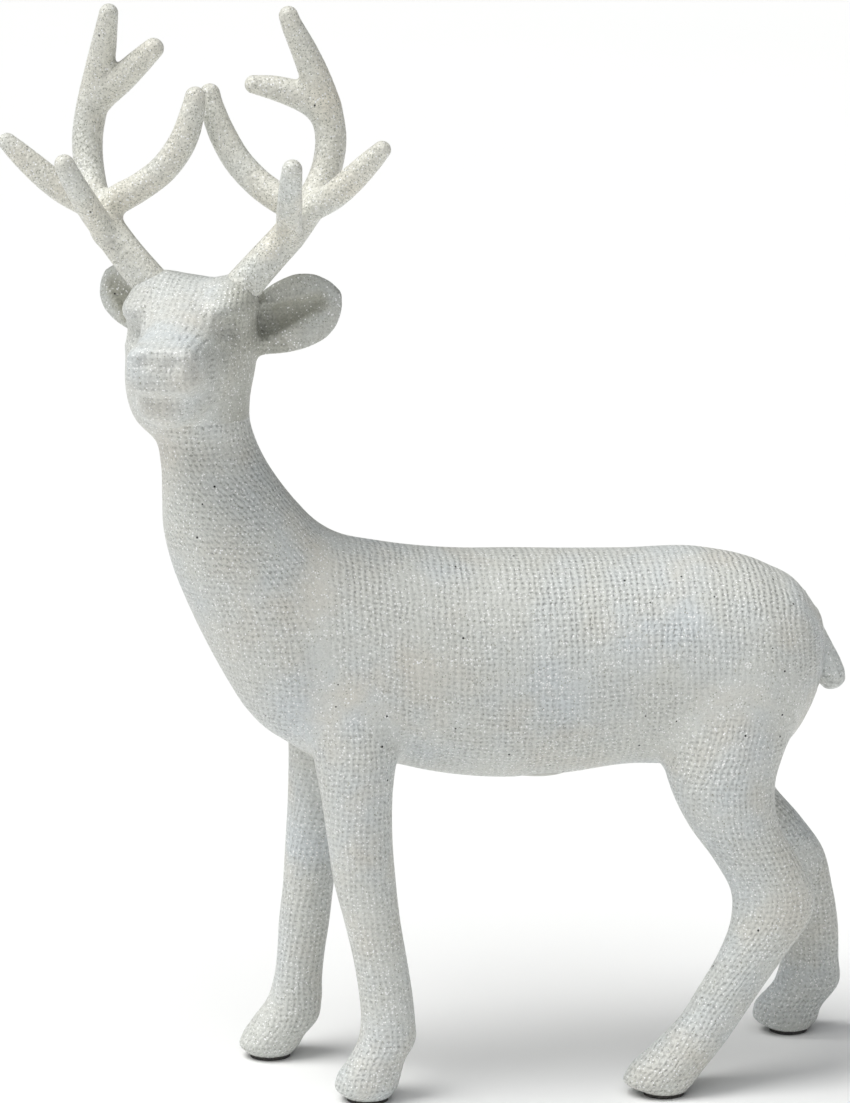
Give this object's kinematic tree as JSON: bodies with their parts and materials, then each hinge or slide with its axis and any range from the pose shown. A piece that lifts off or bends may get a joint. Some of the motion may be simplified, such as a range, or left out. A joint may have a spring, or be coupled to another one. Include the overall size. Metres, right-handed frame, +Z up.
{
  "type": "reindeer figure",
  "caption": "Standing reindeer ornament in white glittered cast resin with a knitted surface, head turned to one side, and antlers that plug into the skull.",
  "frame": {"origin": "on the floor, under the middle of the figure's overall box", "axes": "+Z up; the figure's trunk faces -Y; its left side, to which the head is turned, is +X"},
  "size_m": [0.0805, 0.2694, 0.3394],
  "materials": {
    "knit_resin": "cast resin with a fine knitted relief and white glitter",
    "antler_resin": "cast resin with a pebbled coat of white glitter",
    "steel_rod": "drawn steel",
    "sleeve_plastic": "smooth natural plastic",
    "pad_rubber": "dull black rubber"
  },
  "bodies": {
    "figure": {"body_shell": "knit_resin", "belly_plug": "knit_resin", "head": "knit_resin", "ear_left": "knit_resin", "ear_right": "knit_resin", "tail": "knit_resin", "foreleg_left": "knit_resin", "foreleg_right": "knit_resin", "hindleg_left": "knit_resin", "hindleg_right": "knit_resin", "neck_rod": "steel_rod", "foreleg_left_rod": "steel_rod", "foreleg_right_rod": "steel_rod", "hindleg_left_rod": "steel_rod", "hindleg_right_rod": "steel_rod", "socket_sleeve_left": "sleeve_plastic", "socket_sleeve_right": "sleeve_plastic", "foreleg_left_pad": "pad_rubber", "foreleg_right_pad": "pad_rubber", "hindleg_left_pad": "pad_rubber", "hindleg_right_pad": "pad_rubber"},
    "left_antler": {"antler_left": "antler_resin", "antler_left_pin": "steel_rod"},
    "right_antler": {"antler_right": "antler_resin", "antler_right_pin": "steel_rod"}
  },
  "joints": [
    {"name": "antler_left_pull", "type": "slide", "parent": "figure", "child": "left_antler", "axis": [0.1867, 0.5423, 0.8192], "range_m": [0, 0.018]},
    {"name": "antler_right_pull", "type": "slide", "parent": "figure", "child": "right_antler", "axis": [-0.1867, -0.5423, 0.8192], "range_m": [0, 0.018]}
  ]
}
